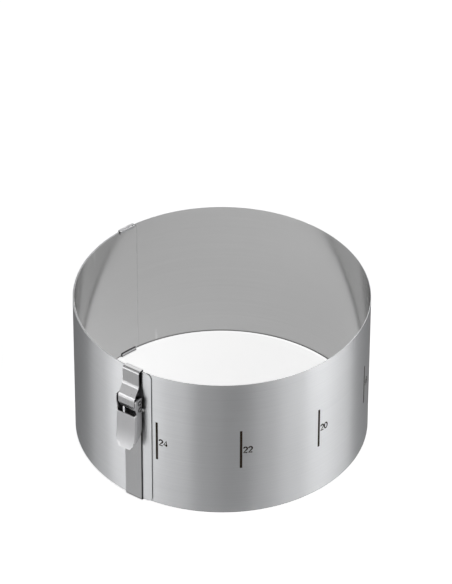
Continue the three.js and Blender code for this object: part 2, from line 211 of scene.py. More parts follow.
print("stage: steel finishes")
# shadeReach is how far the painted shade in gaps reaches, in millimetres.
finishes = {
    "bandBrushed": {
        "dark": (0.65, 0.656, 0.668), "light": (0.755, 0.762, 0.775),
        "roughness": 0.42, "spread": 0.03, "anisotropic": 0.93,
        "edgeTint": (0.6, 0.6, 0.6, 1),  # what is left of the shine at a flat angle
        "grain": (2600, 14, 1), "bump": 0.10, "run": "bandRun",
        "shadeReach": 3, "wear": 0.5,
    },
    # Near-black steel: painted shade on the cut ends of the band and the cut sides of the strips, which sit
    # beside narrow shaded gaps.
    "shearedEdge": {
        "dark": (0.06, 0.06, 0.062), "light": (0.14, 0.14, 0.145),
        "roughness": 0.45, "spread": 0.08, "grain": (1500, 1500, 1500), "bump": 0.3,
        "shadeReach": 4, "wear": 0.5,
    },
    "rubbedRim": {
        "dark": (0.66, 0.665, 0.675), "light": (0.76, 0.765, 0.775),
        "roughness": 0.3, "spread": 0.05, "grain": (1500, 1500, 1500), "bump": 0.1,
        "shadeReach": 0.3, "wear": 0.5,
    },
    "bandMirror": {
        "dark": (0.62, 0.62, 0.62), "light": (0.68, 0.68, 0.68),
        "roughness": 0.16, "spread": 0.03, "anisotropic": 0.5,
        "grain": (1800, 10, 1), "bump": 0.03, "run": "bandRun",
        "shadeReach": 4, "wear": 0.5,
    },
    "clipSatin": {
        "dark": (0.60, 0.60, 0.61), "light": (0.70, 0.70, 0.71),
        "roughness": 0.36, "spread": 0.05, "grain": (900, 900, 900), "bump": 0.05,
        "shadeReach": 3, "wear": 0.5,
    },
    "catchSatin": {
        "dark": (0.62, 0.62, 0.625), "light": (0.75, 0.75, 0.76),
        "roughness": 0.285, "spread": 0.02, "bendRoughness": 0.44, "grain": (1800, 1800, 40), "bump": 0.03,
        "shadeReach": 6, "wear": 0.06,
    },
    "strapSatin": {
        "dark": (0.70, 0.70, 0.705), "light": (0.78, 0.78, 0.79),
        "roughness": 0.28, "spread": 0.04, "grain": (2200, 2200, 60), "bump": 0.08,
        "shadeReach": 3, "wear": 0.5,
    },
    "leverSatin": {
        "dark": (0.56, 0.56, 0.57), "light": (0.62, 0.62, 0.63),
        "roughness": 0.5, "spread": 0.04, "grain": (2000, 2000, 90), "bump": 0.06,
        "shadeReach": 12, "wear": 0.5,
    },
    # Near black all over: painted shade standing in for the shaded dimples of the rivet heads.
    "rivetSatin": {
        "dark": (0.07, 0.07, 0.072), "light": (0.14, 0.14, 0.145),
        "roughness": 0.3, "spread": 0.08, "grain": (1500, 1500, 1500), "bump": 0.1,
        "shadeReach": 2, "wear": 0.5,
    },
}
rolling = {  # what all steel finishes have in common
    "layers": [(1, 6), (0.22, 3)],  # share of the grain's scale, and detail
    "layerRoughness": 0.6,
    "broadShare": 0.45,
    "toneGain": 1.6,
    "toneShift": -0.3,
    "depth": 0.02 * mm,
    "blotchScale": 26,
    "blotchDetail": 3,
    "glossRange": (0.3, 0.7),
}
rubbing = {  # where edges are handled
    "pointiness": (0.52, 0.6),
    "tone": (0.86, 0.86, 0.87, 1),
    "smoothing": 0.15,
}
gapShade = {  # painted shade, darkest where two pieces almost touch
    "closed": 0.4,
    "open": 0.9,
    "darkness": 0.95,
    "tone": (0.02, 0.018, 0.016, 1),
    "samples": 12,
}
etching = {
    "dark": (0.010, 0.005, 0.002, 1),
    "light": (0.030, 0.016, 0.007, 1),
    "darkUpTo": 0.3,
    "lightFrom": 0.75,
    "speckleScale": 2400,
    "speckleDetail": 4,
    "roughness": (0.5, 0.75),
    "bump": 0.3,
    "shine": 0.15,
}


def steelFinish(name, look):
    # Fine rolled grain over broad streaks, soft blotches in the gloss, bright worn edges, and painted shade
    # that darkens the colour in gaps and recesses.
    steel, tree = openMaterial(name)
    solid = addNode(tree, "ShaderNodeTexCoord").outputs["Object"]
    flow = addNode(tree, "ShaderNodeUVMap", uv_map=look["run"]).outputs["UV"] if "run" in look else solid
    layers = []
    for share, detail in rolling["layers"]:
        scaled = [size * share for size in look["grain"]]
        mapped = addNode(tree, "ShaderNodeMapping", {"Vector": flow, "Scale": scaled})
        layers.append(addNode(tree, "ShaderNodeTexNoise", {
            "Vector": mapped.outputs[0], "Scale": 1,
            "Detail": detail, "Roughness": rolling["layerRoughness"],
        }).outputs["Fac"])
    streaks = blend(tree, rolling["broadShare"], *layers)
    blotches = addNode(tree, "ShaderNodeTexNoise", {
        "Vector": solid, "Scale": rolling["blotchScale"], "Detail": rolling["blotchDetail"],
    }).outputs["Fac"]
    pointed = addNode(tree, "ShaderNodeNewGeometry").outputs["Pointiness"]
    worn = remap(tree, pointed, rubbing["pointiness"], (0, look["wear"]))
    toneShare = calc(tree, "MULTIPLY_ADD", streaks, rolling["toneGain"], rolling["toneShift"])
    toned = mixTones(tree, toneShare, (*look["dark"], 1), (*look["light"], 1))
    rubbed = mixTones(tree, worn, toned, rubbing["tone"])
    # Painted shade: ambient occlusion takes the base colour towards near black in gaps and recesses.
    openness = addNode(tree, "ShaderNodeAmbientOcclusion",
                       {"Distance": look["shadeReach"] * mm}, samples=gapShade["samples"]).outputs["AO"]
    paintedShade = remap(tree, openness, (gapShade["closed"], gapShade["open"]), (gapShade["darkness"], 0))
    shadedTone = mixTones(tree, paintedShade, rubbed, gapShade["tone"])
    gloss = calc(tree, "ADD", calc(tree, "MULTIPLY", streaks, 0.5), calc(tree, "MULTIPLY", blotches, 0.5))
    roughRange = (look["roughness"] - look["spread"], look["roughness"] + look["spread"])
    rough = remap(tree, gloss, rolling["glossRange"], roughRange)
    rough = calc(tree, "SUBTRACT", rough, calc(tree, "MULTIPLY", worn, rubbing["smoothing"]))
    if "bendRoughness" in look:  # bending leaves the sheet a little coarser
        bent = addNode(tree, "ShaderNodeAttribute", attribute_name="bent").outputs["Fac"]
        rough = calc(tree, "MULTIPLY_ADD", bent, look["bendRoughness"], rough)
    bump = addNode(tree, "ShaderNodeBump",
                   {"Strength": look["bump"], "Distance": rolling["depth"], "Height": streaks})
    surface = addNode(tree, "ShaderNodeBsdfPrincipled", {
        "Base Color": shadedTone, "Roughness": rough, "Normal": bump.outputs[0],
        "Metallic": 1, "Anisotropic": look.get("anisotropic", 0),
        "Specular Tint": look.get("edgeTint", (1, 1, 1, 1)),
    })
    if "run" in look:
        along = addNode(tree, "ShaderNodeTangent", direction_type="UV_MAP", uv_map=look["run"])
        feed(tree, surface.inputs["Tangent"], along.outputs[0])
    closeShader(tree, surface)
    return steel


def etchedFinish():
    # Burnt dark brown by the marking, a little uneven.
    mark, tree = openMaterial("etchedMark")
    solid = addNode(tree, "ShaderNodeTexCoord").outputs["Object"]
    speckle = addNode(tree, "ShaderNodeTexNoise", {
        "Vector": solid, "Scale": etching["speckleScale"], "Detail": etching["speckleDetail"],
    }).outputs["Fac"]
    tone = addNode(tree, "ShaderNodeValToRGB", {"Fac": speckle})
    first, second = tone.color_ramp.elements
    first.position, first.color = etching["darkUpTo"], etching["dark"]
    second.position, second.color = etching["lightFrom"], etching["light"]
    rough = remap(tree, speckle, (0, 1), etching["roughness"])
    bump = addNode(tree, "ShaderNodeBump",
                   {"Strength": etching["bump"], "Distance": rolling["depth"], "Height": speckle})
    surface = addNode(tree, "ShaderNodeBsdfPrincipled", {
        "Base Color": tone.outputs["Color"], "Roughness": rough, "Normal": bump.outputs[0],
        "Specular IOR Level": etching["shine"],
    })
    closeShader(tree, surface)
    return mark


steels = {name: steelFinish(name, look) for name, look in finishes.items()}
etched = etchedFinish()


def newTree(name, inputs, takesGeometry=False):
    kinds = {
        float: "NodeSocketFloat", int: "NodeSocketInt",
        bpy.types.Material: "NodeSocketMaterial", bpy.types.Object: "NodeSocketObject",
    }
    tree = bpy.data.node_groups.new(name, "GeometryNodeTree")
    if takesGeometry:
        tree.interface.new_socket("Geometry", in_out="INPUT", socket_type="NodeSocketGeometry")
    for label, value in inputs.items():
        tree.interface.new_socket(label, in_out="INPUT", socket_type=kinds[type(value)])
    tree.interface.new_socket("Geometry", in_out="OUTPUT", socket_type="NodeSocketGeometry")
    return tree, tree.nodes.new("NodeGroupInput").outputs


def closeTree(tree, geometry):
    end = tree.nodes.new("NodeGroupOutput")
    tree.links.new(geometry, end.inputs[0])
    return tree


def geometryFrom(tree, kind, inputs, **settings):
    return addNode(tree, kind, inputs, **settings).outputs[0]


def vector(tree, x, y, z):
    return addNode(tree, "ShaderNodeCombineXYZ", {"X": x, "Y": y, "Z": z}).outputs[0]


def partsOf(tree, source):
    return addNode(tree, "ShaderNodeSeparateXYZ", {"Vector": addNode(tree, source).outputs[0]}).outputs


def moved(tree, geometry, position):
    return geometryFrom(tree, "GeometryNodeSetPosition", {"Geometry": geometry, "Position": position})


def realized(tree, geometry):
    return geometryFrom(tree, "GeometryNodeRealizeInstances", {"Geometry": geometry})


def dressed(tree, geometry, material, selection=True):
    return geometryFrom(tree, "GeometryNodeSetMaterial",
                        {"Geometry": geometry, "Selection": selection, "Material": material})


def joined(tree, *pieces):
    join = tree.nodes.new("GeometryNodeJoinGeometry")
    for piece in pieces:
        tree.links.new(piece, join.inputs[0])
    return join.outputs[0]


def runTree(piece, tree, values):
    modifier = piece.modifiers.new(tree.name, "NODES")
    modifier.node_group = tree
    for item in tree.interface.items_tree:
        if item.in_out == "INPUT" and item.socket_type != "NodeSocketGeometry":
            modifier[item.identifier] = values[item.name]


softEdge = {"segments": 2, "fromAngle": radians(50)}


def settle(piece, edge=0.0):
    # Rounds the sheet's edges, then makes what the modifiers give a plain mesh.
    if edge:
        bevel = piece.modifiers.new("softEdge", "BEVEL")
        bevel.width = edge
        bevel.segments = softEdge["segments"]
        bevel.limit_method = "ANGLE"
        bevel.angle_limit = softEdge["fromAngle"]
        bevel.harden_normals = True
    bpy.context.view_layer.update()
    graph = bpy.context.evaluated_depsgraph_get()
    mesh = bpy.data.meshes.new_from_object(
        piece.evaluated_get(graph), preserve_all_data_layers=True, depsgraph=graph)
    piece.modifiers.clear()
    piece.data = mesh
    mesh.name = piece.name
    return piece


def place(piece, body, replaced=()):
    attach(piece, body)
    if replaced:
        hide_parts(*replaced)


print("stage: band")
band = {
    "Radius": 121.5 * mm,
    "Layer Step": 0.8 * mm,
    "Thickness": 0.5 * mm,
    "Bottom": 1.1 * mm,
    "Height": 130 * mm,
    "Overlap": 246 * mm,  # along the band, from the outer end to the inner end
    "Corner Radius": 4.5 * mm,
    "Corner Stations": 10,
    "Stations": 520,
    "Rows": 9,
    "Rim From": 0.5,  # how level an edge face is to count as rim and not as cut end
    "Weld Distance": 0.01 * mm,
    "Outside": steels["bandBrushed"],
    "Inside": steels["bandMirror"],
    # the cut ends take the near-black painted shade
    "Ends": steels["shearedEdge"],
    "Rims": steels["rubbedRim"],
}
bandEdge = 0.1 * mm
clampAzimuth = radians(-34.85)
endPastClamp = 16.9 * mm  # from the clamp's middle to the band's outer end
band["End Azimuth"] = clampAzimuth + endPastClamp / band["Radius"]


def easedRadius(tree, sizes, turned):
    # The outer layer keeps the full radius, then the band eases inwards by one layer's step.
    overlapTurn = calc(tree, "DIVIDE", sizes["Overlap"], sizes["Radius"])
    share = remap(tree, turned, (overlapTurn, 2 * pi), (0, 1), interpolation_type="SMOOTHSTEP")
    return calc(tree, "SUBTRACT", sizes["Radius"], calc(tree, "MULTIPLY", share, sizes["Layer Step"]))


def onRing(tree, radius, azimuth, height):
    across = calc(tree, "MULTIPLY", radius, calc(tree, "SINE", azimuth))
    deep = calc(tree, "MULTIPLY", radius, calc(tree, "MULTIPLY", calc(tree, "COSINE", azimuth), -1))
    return vector(tree, across, deep, height)


def bandTree():
    # A grid whose columns are stations along the band: rounded at both ends, coiled and made thick.
    tree, sizes = newTree("coiledBand", band)
    last = calc(tree, "SUBTRACT", sizes["Stations"], 1)
    sheet = geometryFrom(tree, "GeometryNodeMeshGrid", {
        "Size X": 1, "Size Y": 1, "Vertices X": sizes["Stations"], "Vertices Y": sizes["Rows"],
    })
    spot = partsOf(tree, "GeometryNodeInputPosition")
    station = calc(tree, "MULTIPLY", calc(tree, "ADD", spot["X"], 0.5), last)
    corner = sizes["Corner Radius"]

    def cornerTurn(count):
        share = calc(tree, "DIVIDE", count, sizes["Corner Stations"])
        return calc(tree, "MULTIPLY", calc(tree, "MINIMUM", share, 1), pi / 2)

    outer = cornerTurn(station)
    inner = cornerTurn(calc(tree, "SUBTRACT", last, station))
    length = calc(tree, "ADD", calc(tree, "MULTIPLY", sizes["Radius"], 2 * pi), sizes["Overlap"])
    straight = calc(tree, "SUBTRACT", length, calc(tree, "MULTIPLY", corner, 2))
    lastStraight = calc(tree, "SUBTRACT", last, sizes["Corner Stations"])
    middle = remap(tree, station, (sizes["Corner Stations"], lastStraight), (0, straight))
    outerRun = calc(tree, "MULTIPLY", corner, calc(tree, "SUBTRACT", 1, calc(tree, "COSINE", outer)))
    innerRun = calc(tree, "MULTIPLY", corner, calc(tree, "COSINE", inner))
    run = calc(tree, "ADD", calc(tree, "ADD", middle, outerRun), innerRun)
    bothSines = calc(tree, "ADD", calc(tree, "SINE", outer), calc(tree, "SINE", inner))
    inset = calc(tree, "MULTIPLY", corner, calc(tree, "SUBTRACT", 2, bothSines))
    clear = calc(tree, "SUBTRACT", sizes["Height"], calc(tree, "MULTIPLY", inset, 2))
    rise = calc(tree, "MULTIPLY", calc(tree, "SUBTRACT", 0.5, spot["Y"]), clear)
    height = calc(tree, "ADD", calc(tree, "ADD", sizes["Bottom"], inset), rise)
    turned = calc(tree, "DIVIDE", run, sizes["Radius"])
    radius = calc(tree, "SUBTRACT", easedRadius(tree, sizes, turned), sizes["Thickness"])
    azimuth = calc(tree, "SUBTRACT", sizes["End Azimuth"], turned)
    mapped = geometryFrom(tree, "GeometryNodeStoreNamedAttribute", {
        "Geometry": sheet, "Name": "bandRun", "Value": vector(tree, height, run, 0),
    }, data_type="FLOAT2", domain="CORNER")
    coiled = moved(tree, mapped, onRing(tree, radius, azimuth, height))
    smooth = geometryFrom(tree, "GeometryNodeSetShadeSmooth", {"Geometry": coiled})
    thick = addNode(tree, "GeometryNodeExtrudeMesh",
                    {"Mesh": smooth, "Offset Scale": sizes["Thickness"], "Individual": False})
    outside = dressed(tree, thick.outputs["Mesh"], sizes["Outside"])
    outside = dressed(tree, outside, sizes["Ends"], thick.outputs["Side"])
    slope = calc(tree, "ABSOLUTE", partsOf(tree, "GeometryNodeInputNormal")["Z"])
    level = calc(tree, "GREATER_THAN", slope, sizes["Rim From"])
    onRim = calc(tree, "MULTIPLY", thick.outputs["Side"], level)
    outside = dressed(tree, outside, sizes["Rims"], onRim)
    inside = geometryFrom(tree, "GeometryNodeFlipFaces", {"Mesh": smooth})
    both = joined(tree, dressed(tree, inside, sizes["Inside"]), outside)
    closed = geometryFrom(tree, "GeometryNodeMergeByDistance",
                          {"Geometry": both, "Distance": sizes["Weld Distance"]})
    return closeTree(tree, realized(tree, closed))


ringBand = linked("ringBand", bpy.data.meshes.new("ringBand"))
runTree(ringBand, bandTree(), band)
settle(ringBand, bandEdge)
place(ringBand, "ring", ["ring_band"])

print("stage: diameter scale")
scale = {
    "Count": 4,
    "First": radians(-24.83),
    "Step": radians(32.87),
    "Line Width": 2.0 * mm,
    "Line Length": 37.7 * mm,
    "Line Bottom": 46.8 * mm,
    "Line Columns": 3,
    "Line Rows": 5,
    "Depth": 0.06 * mm,
}
figures = {
    "words": ["24", "22", "20", "18"],
    "height": 5.6 * mm,
    "width": 3.1 * mm,
    "spacing": 4.1 * mm,  # from one figure to the next
    "gap": 1.0 * mm,  # from the line's edge
    "bottom": 62.2 * mm,
    "stroke": 1.3 * mm,
    "strokeSides": 8,
    "curveSteps": 12,
}


def lineAzimuth(count):
    return scale["First"] + count * scale["Step"]


def scaleLineTree():
    tree, sizes = newTree("scaleLines", {**scale, "Radius": band["Radius"]})
    places = geometryFrom(tree, "GeometryNodeMeshLine", {"Count": sizes["Count"], "Offset": (0, 0, 0)})
    count = addNode(tree, "GeometryNodeInputIndex").outputs[0]
    azimuth = calc(tree, "ADD", sizes["First"], calc(tree, "MULTIPLY", count, sizes["Step"]))
    height = calc(tree, "ADD", sizes["Line Bottom"], calc(tree, "DIVIDE", sizes["Line Length"], 2))
    placed = moved(tree, places, vector(tree, calc(tree, "MULTIPLY", azimuth, sizes["Radius"]), 0, height))
    line = geometryFrom(tree, "GeometryNodeMeshCube", {
        "Size": vector(tree, sizes["Line Width"], sizes["Depth"], sizes["Line Length"]),
        "Vertices X": sizes["Line Columns"], "Vertices Y": 2, "Vertices Z": sizes["Line Rows"],
    })
    lines = geometryFrom(tree, "GeometryNodeInstanceOnPoints", {"Points": placed, "Instance": line})
    return closeTree(tree, dressed(tree, realized(tree, lines), etched))


def wrapTree():
    # Bends what is drawn flat, with x along the band and z upwards, onto the band's outside.
    inputs = {name: band[name] for name in ("Radius", "Layer Step", "Overlap", "End Azimuth")}
    tree, sizes = newTree("wrapOnBand", {**inputs, "Mark": etched}, takesGeometry=True)
    spot = partsOf(tree, "GeometryNodeInputPosition")
    azimuth = calc(tree, "DIVIDE", spot["X"], sizes["Radius"])
    turned = calc(tree, "ADD", calc(tree, "SUBTRACT", sizes["End Azimuth"], azimuth), 2 * pi)
    radius = calc(tree, "SUBTRACT", easedRadius(tree, sizes, turned), spot["Y"])
    wrapped = moved(tree, sizes["Geometry"], onRing(tree, radius, azimuth, spot["Z"]))
    return closeTree(tree, dressed(tree, realized(tree, wrapped), sizes["Mark"]))


def figureStrokes(figure):
    # Each figure as lines in a box one wide and one high.
    def bow(centre, wide, high, start, end):
        steps = figures["curveSteps"]
        turns = [radians(start + (end - start) * i / steps) for i in range(steps + 1)]
        return [(centre[0] + wide * cos(a), centre[1] + high * sin(a)) for a in turns]

    return {
        "0": [bow((0.5, 0.5), 0.5, 0.5, 0, 360)],
        "1": [[(0.1, 0.74), (0.55, 1), (0.55, 0)]],
        "2": [bow((0.5, 0.72), 0.47, 0.28, 170, -35) + [(0.02, 0), (1, 0)]],
        "4": [[(0.72, 0), (0.72, 1), (0, 0.26), (1, 0.26)]],
        "8": [bow((0.5, 0.74), 0.42, 0.26, -90, 270), bow((0.5, 0.25), 0.5, 0.25, 90, 450)],
    }[figure]


def drawFigures():
    # Centre lines of all figures, drawn flat with x along the band and z upwards.
    spots, runs = [], []
    for count, word in enumerate(figures["words"]):
        start = lineAzimuth(count) * band["Radius"] + scale["Line Width"] / 2 + figures["gap"]
        for digit, figure in enumerate(word):
            left = start + digit * figures["spacing"]
            for stroke in figureStrokes(figure):
                first = len(spots)
                for x, y in stroke:
                    up = figures["bottom"] + y * figures["height"]
                    spots.append((left + x * figures["width"], 0, up))
                runs += [(i, i + 1) for i in range(first, len(spots) - 1)]
    mesh = bpy.data.meshes.new("scaleFigures")
    mesh.from_pydata(spots, runs, [])
    return mesh


strokeSizes = {"Stroke": figures["stroke"], "Depth": scale["Depth"], "Sides": figures["strokeSides"]}


def strokeTree():
    # A flat rounded ribbon along every centre line.
    tree, sizes = newTree("figureStrokes", strokeSizes, takesGeometry=True)
    lines = geometryFrom(tree, "GeometryNodeMeshToCurve", {"Mesh": sizes["Geometry"]})
    dot = geometryFrom(tree, "GeometryNodeCurvePrimitiveCircle", {
        "Resolution": sizes["Sides"], "Radius": calc(tree, "DIVIDE", sizes["Stroke"], 2),
    })
    tube = geometryFrom(tree, "GeometryNodeCurveToMesh",
                        {"Curve": lines, "Profile Curve": dot, "Fill Caps": True})
    spot = partsOf(tree, "GeometryNodeInputPosition")
    thin = calc(tree, "MULTIPLY", spot["Y"], calc(tree, "DIVIDE", sizes["Depth"], sizes["Stroke"]))
    flat = moved(tree, tube, vector(tree, spot["X"], thin, spot["Z"]))
    return closeTree(tree, dressed(tree, realized(tree, flat), etched))


wrap = wrapTree()
wrapValues = {**band, "Mark": etched}
scaleLines = linked("scaleLines", bpy.data.meshes.new("scaleLines"))
runTree(scaleLines, scaleLineTree(), {**scale, "Radius": band["Radius"]})
runTree(scaleLines, wrap, wrapValues)
scaleFigures = linked("scaleFigures", drawFigures())
runTree(scaleFigures, strokeTree(), strokeSizes)
runTree(scaleFigures, wrap, wrapValues)
for marks in (scaleLines, scaleFigures):
    settle(marks)
    place(marks, "ring")

print("stage: guide clips")
clip = {
    "length": 15.6 * mm,
    "sheet": 0.6 * mm,
    "leg": 2.4 * mm,  # how far the legs reach over the band
    "inset": 2.5 * mm,  # from the band's inner end
    "bend": 0.35 * mm,
    "seat": 0.3 * mm,  # between the clip and the band
    "cap": 1.1 * mm,  # how far the fold stands out from the rim
    "steps": 16,  # along the rim
    "edge": 0.09 * mm,
}
weldWithin = 0.001 * mm


def arcPoints(centre, radius, start, end, step=radians(7.5)):
    count = max(1, math.ceil(abs(end - start) / step))
    angles = [start + (end - start) * i / count for i in range(count + 1)]
    return [Vector((centre[0] + radius * cos(a), centre[1] + radius * sin(a))) for a in angles]


def meshPiece(name, vertices, faces, material):
    shape = bmesh.new()
    corners = [shape.verts.new(point) for point in vertices]
    for face in faces:
        shape.faces.new([corners[i] for i in face])
    bmesh.ops.remove_doubles(shape, verts=shape.verts, dist=weldWithin)
    bmesh.ops.recalc_face_normals(shape, faces=shape.faces)
    for face in shape.faces:
        face.smooth = True
    mesh = bpy.data.meshes.new(name)
    shape.to_mesh(mesh)
    shape.free()
    mesh.materials.append(material)
    return linked(name, mesh)


def lofted(sections):
    # Faces between closed sections with equally many points, and a cap at each end.
    count = len(sections[0])
    lastStart = (len(sections) - 1) * count
    faces = [tuple(range(count)), tuple(range(lastStart + count - 1, lastStart - 1, -1))]
    for i in range(len(sections) - 1):
        for j in range(count):
            a, b = i * count + j, i * count + (j + 1) % count
            faces.append((a, b, b + count, a + count))
    return [point for section in sections for point in section], faces


def bendClip(name, rim, up):
    outside = band["Radius"] + clip["seat"] + clip["sheet"]
    inside = band["Radius"] - band["Layer Step"] - band["Thickness"] - clip["seat"] - clip["sheet"]

    def foldLine(left, right, top, bend):
        return [
            Vector((left, -clip["leg"])),
            *arcPoints((left + bend, top - bend), bend, pi, pi / 2),
            *arcPoints((right - bend, top - bend), bend, pi / 2, 0),
            Vector((right, -clip["leg"])),
        ]

    wall = clip["sheet"]
    outer = foldLine(inside, outside, clip["cap"], clip["bend"] + wall)
    inner = foldLine(inside + wall, outside - wall, clip["cap"] - wall, clip["bend"])
    section = outer + inner[::-1]
    innerEnd = band["End Azimuth"] - band["Overlap"] / band["Radius"]
    start = innerEnd + clip["inset"] / band["Radius"]
    span = clip["length"] / band["Radius"]
    sections = []
    for i in range(clip["steps"] + 1):
        azimuth = start + span * i / clip["steps"]
        sections.append([(p.x * sin(azimuth), -p.x * cos(azimuth), rim + up * p.y) for p in section])
    return settle(meshPiece(name, *lofted(sections), steels["clipSatin"]), clip["edge"])


rimTop = band["Bottom"] + band["Height"]
place(bendClip("guideClipTop", rimTop, 1), "ring", ["guide_clip_top"])
place(bendClip("guideClipBottom", band["Bottom"], -1), "ring", ["guide_clip_bottom"])

print("stage: clamp strap and catch")
strip = {
    "width": 15.9 * mm,
    "sheet": 0.8 * mm,
    "rimBend": 0.4 * mm,
    "hookReach": 5 * mm,
    "hookPlay": 0.6 * mm,
    "seat": 0.3 * mm,
    "knuckleInside": 1.8 * mm,
    "knuckleRoll": radians(295),
    "knuckleStep": radians(9),
    "edge": 0.12 * mm,
    "sideFacing": 0.9,  # how squarely a face looks sideways to be a cut one
}
pivot = {
    "belowRim": 27.8 * mm,
    "standOff": 4.9 * mm,  # from the outside of the band
    "pinSpacing": 6.5 * mm,  # down to the catch pin
    "pastCentre": 0.4 * mm,
}
catchBend = {
    "armStandOff": 2.4 * mm,
    "bulgeGap": 1.3 * mm,
    "lipAbovePivot": 4.6 * mm,
    "lipBelowPivot": 1.9 * mm,
    "slope": 9 * mm,
    "rimBend": 1.3 * mm,  # at the hook's outer corner
    "bend": 5 * mm,
    "lipBend": 1.2 * mm,
}
strapBend = {"jogBelowPivot": 3.9 * mm, "jogBend": 2 * mm}
pivotHeight = rimTop - pivot["belowRim"]
pivotRadius = band["Radius"] + pivot["standOff"]
knuckleOutside = strip["knuckleInside"] + strip["sheet"]
halfSheet = strip["sheet"] / 2
clampHeading = clampAzimuth - pi / 2
clampTurn = Matrix.Rotation(clampHeading, 4, "Z")  # then +X points outwards, +Y to the right


def bentStations(corners, pin):
    # A strip's middle line as (point, side, share of bend): straight runs, bends and the pin's knuckle.
    roll = strip["knuckleInside"] + halfSheet
    last = corners[-1][0]
    toPin = pin - last
    heading = math.atan2(toPin.y, toPin.x) + math.asin(roll / toPin.length)
    reach = math.sqrt(toPin.length_squared - roll * roll)
    points = [point for point, bend in corners]
    points.append(last + reach * Vector((cos(heading), sin(heading))))
    first = (points[1] - points[0]).normalized()
    stations = [(points[0], Vector((-first.y, first.x)), 0)]
    for i in range(1, len(points) - 1):
        before = (points[i] - points[i - 1]).normalized()
        after = (points[i + 1] - points[i]).normalized()
        turn = math.atan2(before.cross(after), before.dot(after))
        hand = math.copysign(1, turn)
        radius = corners[i][1] + halfSheet
        side = Vector((-before.y, before.x)) * hand
        centre = points[i] - before * radius * math.tan(abs(turn) / 2) + side * radius
        start = math.atan2(-side.y, -side.x)
        arc = arcPoints(centre, radius, start, start + turn)
        for step, point in enumerate(arc):
            bent = sin(pi * step / (len(arc) - 1))
            stations.append((point, (centre - point).normalized() * hand, bent))
    start = heading + pi / 2
    for point in arcPoints(pin, roll, start, start - strip["knuckleRoll"], strip["knuckleStep"]):
        stations.append((point, (point - pin).normalized(), 0))
    return stations


def darkenCutEdges(piece, across):
    # The strip's cut sides and ends get near-black steel: painted shade for the narrow shaded gaps beside
    # them.
    piece.data.materials.append(steels["shearedEdge"])
    endFaces = {0, 1}  # lofted makes the two caps first
    for face in piece.data.polygons:
        if face.index in endFaces or abs(face.normal.dot(across)) > strip["sideFacing"]:
            face.material_index = 1


def bendStrip(name, corners, pin, material):
    wide = strip["width"] / 2
    sections = []
    stations = bentStations(corners, pin)
    for point, side, bent in stations:
        left, right = point + side * halfSheet, point - side * halfSheet
        flat = [(p.x, hand * wide, p.y) for p, hand in ((left, -1), (left, 1), (right, 1), (right, -1))]
        sections.append([clampTurn @ Vector(corner) for corner in flat])
    piece = meshPiece(name, *lofted(sections), material)
    darkenCutEdges(piece, clampTurn.to_3x3() @ Vector((0, 1, 0)))
    shares = [bent for point, side, bent in stations for corner in range(4)]
    piece.data.attributes.new("bent", "FLOAT", "POINT").data.foreach_set("value", shares)
    return settle(piece, strip["edge"])


innerFace = band["Radius"] - band["Layer Step"] - band["Thickness"]
hookLine = math.sqrt(innerFace ** 2 - (strip["width"] / 2) ** 2) - strip["hookPlay"] - halfSheet
strapLine = band["Radius"] + strip["seat"] + halfSheet
strapUnder = band["Bottom"] - strip["seat"] - halfSheet
strapCorners = [
    (Vector((hookLine, band["Bottom"] + strip["hookReach"])), 0),
    (Vector((hookLine, strapUnder)), strip["rimBend"]),
    (Vector((strapLine, strapUnder)), strip["rimBend"]),
    (Vector((strapLine, pivotHeight - strapBend["jogBelowPivot"])), strapBend["jogBend"]),
]
clampStrap = bendStrip("clampStrap", strapCorners, Vector((pivotRadius, pivotHeight)), steels["strapSatin"])
place(clampStrap, "clamp", ["clamp_strap"])

catchOver = rimTop + strip["seat"] + halfSheet
armLine = band["Radius"] + catchBend["armStandOff"] + halfSheet
lipLine = pivotRadius + knuckleOutside + catchBend["bulgeGap"] + halfSheet
lipTop = pivotHeight + catchBend["lipAbovePivot"]
catchCorners = [
    (Vector((hookLine, rimTop - strip["hookReach"])), 0),
    (Vector((hookLine, catchOver)), strip["rimBend"]),
    (Vector((armLine, catchOver)), catchBend["rimBend"]),
    (Vector((armLine, lipTop + catchBend["slope"])), catchBend["bend"]),
    (Vector((lipLine, lipTop)), catchBend["bend"]),
    (Vector((lipLine, pivotHeight - catchBend["lipBelowPivot"])), catchBend["lipBend"]),
]
catchPin = Vector((pivotRadius - pivot["pastCentre"], pivotHeight - pivot["pinSpacing"]))
clampCatch = bendStrip("clampCatch", catchCorners, catchPin, steels["catchSatin"])
place(clampCatch, "catch", ["clamp_catch"])

print("stage: lever")
lever = {  # in millimetres, heights and outward distances from the pivot
    "sheet": 0.8, "halfWidth": 9.8, "bend": 1.5,
    "webTop": -11.2, "webTopFront": 5.4, "lean": radians(1),
    "flareStart": -24, "flareRadius": 90,
    "earRadius": 4.6, "earFront": 5.3, "shoulderHeight": 3.3, "shoulderRadius": 1.2,
    "waistFront": 3.5, "waistHeight": -9.3, "earFrontBottom": -1.6,
    "flangeBack": -2.8, "flangeStraight": -26.4, "flangeArc": 11,
    "tongueRoot": -37.6, "tongueShoulder": -40.2, "tip": -44.3, "tipHalf": 5.45,
    "earTop": [3.65, 3.9, 4.15, 4.35, 4.48],
    "frontLead": 3,  # how much sooner the ear's front is reached than the ear is flat
    "edge": 0.13,
    "steps": {  # of the mesh, in each stretch
        "bend": 6, "flange": 7, "web": 8,
        "tip": 10, "tail": 14, "waist": 8, "notch": 5, "ear": 4, "shoulder": 3,
    },
}


def webFront(height):
    lean = lever["lean"]
    straight = lever["webTopFront"] + (lever["webTop"] - max(height, lever["flareStart"])) * math.tan(lean)
    swept = max(0, lever["flareStart"] - height)
    slope = math.asin(sin(lean) + swept / lever["flareRadius"])
    return straight + lever["flareRadius"] * (cos(lean) - cos(slope))


def between(value, points):
    # Straight lines through (value, result) points that are sorted by value.
    for (v0, r0), (v1, r1) in zip(points, points[1:]):
        if value <= v1:
            return r0 + (r1 - r0) * max(0, (value - v0)) / (v1 - v0)
    return points[-1][1]


